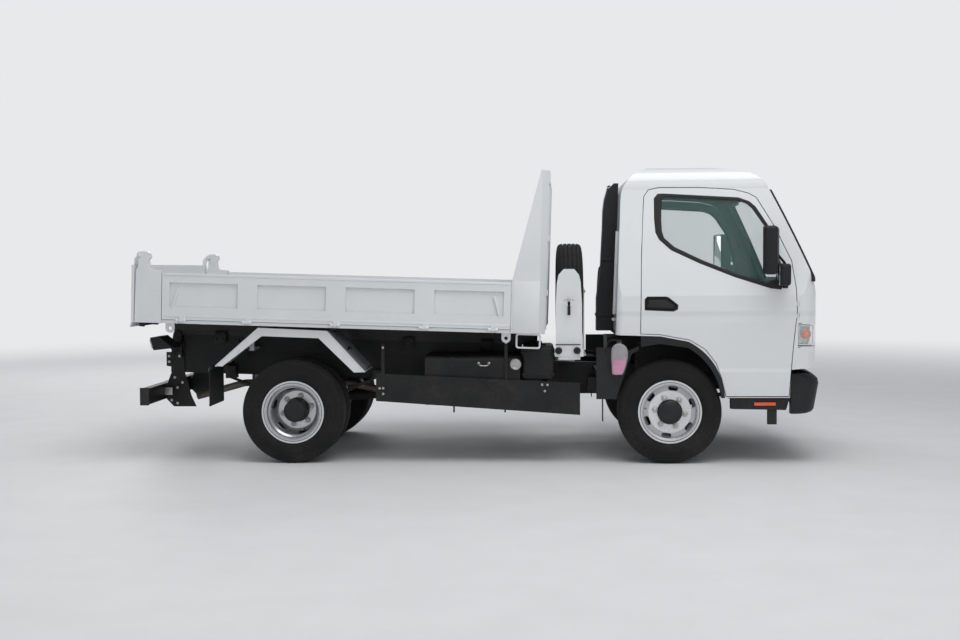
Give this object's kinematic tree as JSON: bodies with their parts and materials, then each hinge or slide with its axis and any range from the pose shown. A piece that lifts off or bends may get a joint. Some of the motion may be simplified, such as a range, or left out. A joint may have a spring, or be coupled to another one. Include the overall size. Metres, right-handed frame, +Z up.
{
  "type": "light dump truck",
  "caption": "Light cab-over dump truck with a tipping bed, drop sides, a top-hung tailgate, twin rear wheels and a tilting cab",
  "frame": {"origin": "on the ground under the middle of the truck's box", "axes": "+X forward, +Y to the truck's left, +Z up"},
  "size_m": [5.1495, 2.366, 2.1935],
  "materials": {
    "white_paint": "gloss white paint",
    "bed_paint": "white paint on pressed steel",
    "black_steel": "satin black chassis paint",
    "tyre_rubber": "ribbed road rubber",
    "wheel_silver": "silver paint",
    "black_plastic": "grained dark moulding",
    "cab_glass": "green tinted glass",
    "lamp_clear": "clear lamp moulding",
    "bottle_plastic": "milky plastic",
    "cast_parts": "rough casting",
    "spring_steel": "painted spring steel",
    "exhaust_steel": "dull steel",
    "hoist_steel": "bright rod",
    "seat_fabric": "woven grey cloth",
    "dash_plastic": "grained grey moulding"
  },
  "bodies": {
    "chassis": {"frame": "black_steel", "subframe": "black_steel", "engine": "cast_parts", "rear_axle": "cast_parts", "front_axle": "cast_parts", "leaf_springs": "spring_steel", "fuel_tank": "black_steel", "battery_box": "black_plastic", "side_guards": "black_steel", "rear_fenders": "white_paint", "mud_flaps": "black_plastic", "splash_guards": "black_plastic", "rear_guard": "black_steel", "tail_lamps": "black_plastic", "exhaust": "exhaust_steel", "spare_tyre": "tyre_rubber", "spare_rim": "wheel_silver", "spare_carrier": "white_paint", "washer_bottle": "bottle_plastic", "bumper": "black_plastic", "cab_steps": "black_plastic"},
    "knuckle_R": {"knuckle_R": "cast_parts"},
    "knuckle_L": {"knuckle_L": "cast_parts"},
    "tie_rod": {"tie_rod": "black_steel"},
    "front_wheel_R": {"front_tyre_R": "tyre_rubber", "front_rim_R": "wheel_silver"},
    "front_wheel_L": {"front_tyre_L": "tyre_rubber", "front_rim_L": "wheel_silver"},
    "rear_wheels_R": {"rear_tyres_R": "tyre_rubber", "rear_rims_R": "wheel_silver"},
    "rear_wheels_L": {"rear_tyres_L": "tyre_rubber", "rear_rims_L": "wheel_silver"},
    "cab": {"cab_shell": "white_paint", "cab_glass": "cab_glass", "front_panel": "black_plastic", "headlamps": "lamp_clear", "dashboard": "dash_plastic", "seats": "seat_fabric", "intake_duct": "black_plastic", "arch_trims": "black_plastic"},
    "steering_wheel": {"steering_wheel": "dash_plastic"},
    "door_R": {"door_R": "white_paint", "door_glass_R": "cab_glass", "mirrors_R": "black_plastic"},
    "door_L": {"door_L": "white_paint", "door_glass_L": "cab_glass", "mirrors_L": "black_plastic"},
    "bed": {"bed_floor": "bed_paint", "headboard": "bed_paint", "rear_posts": "bed_paint", "gate_hinge_pins": "bed_paint"},
    "gate_R": {"gate_R": "bed_paint"},
    "gate_L": {"gate_L": "bed_paint"},
    "tailgate": {"tailgate": "bed_paint"},
    "hoist_barrel": {"hoist_barrel": "black_steel"},
    "hoist_rod": {"hoist_rod": "hoist_steel"}
  },
  "joints": [
    {"name": "steer_R", "type": "hinge", "parent": "chassis", "child": "knuckle_R", "pos_m": [1.42, -0.69, 0.383], "axis": [0, 0, 1], "range_deg": [-30, 30]},
    {"name": "steer_L", "type": "hinge", "parent": "chassis", "child": "knuckle_L", "pos_m": [1.42, 0.69, 0.383], "axis": [0, 0, 1], "range_deg": [-30, 30]},
    {"name": "tie_rod_slide", "type": "slide", "parent": "chassis", "child": "tie_rod", "axis": [0, 1, 0], "range_m": [-0.0787, 0.0787]},
    {"name": "front_wheel_R_spin", "type": "hinge", "parent": "knuckle_R", "child": "front_wheel_R", "pos_m": [1.42, -0.815, 0.383], "axis": [0, 1, 0], "continuous": true},
    {"name": "front_wheel_L_spin", "type": "hinge", "parent": "knuckle_L", "child": "front_wheel_L", "pos_m": [1.42, 0.815, 0.383], "axis": [0, 1, 0], "continuous": true},
    {"name": "rear_wheels_R_spin", "type": "hinge", "parent": "chassis", "child": "rear_wheels_R", "pos_m": [-1.38, -0.705, 0.383], "axis": [0, 1, 0], "continuous": true},
    {"name": "rear_wheels_L_spin", "type": "hinge", "parent": "chassis", "child": "rear_wheels_L", "pos_m": [-1.38, 0.705, 0.383], "axis": [0, 1, 0], "continuous": true},
    {"name": "cab_tilt", "type": "hinge", "parent": "chassis", "child": "cab", "pos_m": [2.445, 0, 0.69], "axis": [0, 1, 0], "range_deg": [0, 45]},
    {"name": "steering_wheel_turn", "type": "hinge", "parent": "cab", "child": "steering_wheel", "pos_m": [1.905, 0.44, 1.26], "axis": [-0.8455, 0, 0.534], "range_deg": [-481, 481]},
    {"name": "door_R_swing", "type": "hinge", "parent": "cab", "child": "door_R", "pos_m": [2.333, -0.967, 1.2], "axis": [0, 0, 1], "range_deg": [0, 68]},
    {"name": "door_L_swing", "type": "hinge", "parent": "cab", "child": "door_L", "pos_m": [2.333, 0.967, 1.2], "axis": [0, 0, -1], "range_deg": [0, 68]},
    {"name": "bed_tip", "type": "hinge", "parent": "chassis", "child": "bed", "pos_m": [-2.40266, 0, 0.93964], "axis": [0, -1, 0], "range_deg": [0, 50]},
    {"name": "gate_R_drop", "type": "hinge", "parent": "bed", "child": "gate_R", "pos_m": [-1.03863, -0.992, 1.03847], "axis": [0.9995, 0, -0.0332], "range_deg": [0, 170]},
    {"name": "gate_L_drop", "type": "hinge", "parent": "bed", "child": "gate_L", "pos_m": [-1.03863, 0.992, 1.03847], "axis": [-0.9995, 0, 0.0332], "range_deg": [0, 170]},
    {"name": "tailgate_swing", "type": "hinge", "parent": "bed", "child": "tailgate", "pos_m": [-2.49424, 0, 1.55701], "axis": [0, 1, 0], "range_deg": [0, 90]},
    {"name": "hoist_pivot", "type": "hinge", "parent": "chassis", "child": "hoist_barrel", "pos_m": [-0.6, 0, 0.62], "axis": [0, -1, 0], "range_deg": [-20.5, 0]},
    {"name": "hoist_extend", "type": "slide", "parent": "hoist_barrel", "child": "hoist_rod", "axis": [-0.963, 0, 0.2696], "range_m": [0, 0.5153]}
  ],
  "couplings": [
    {"joint": "steer_L", "follows": "steer_R", "ratio": 1},
    {"joint": "tie_rod_slide", "follows": "steer_R", "m_per_rad": -0.15},
    {"joint": "steering_wheel_turn", "follows": "steer_R", "ratio": 16},
    {"joint": "hoist_pivot", "follows": "bed_tip", "ratio": -0.4049},
    {"joint": "hoist_extend", "follows": "bed_tip", "m_per_rad": 0.587}
  ]
}
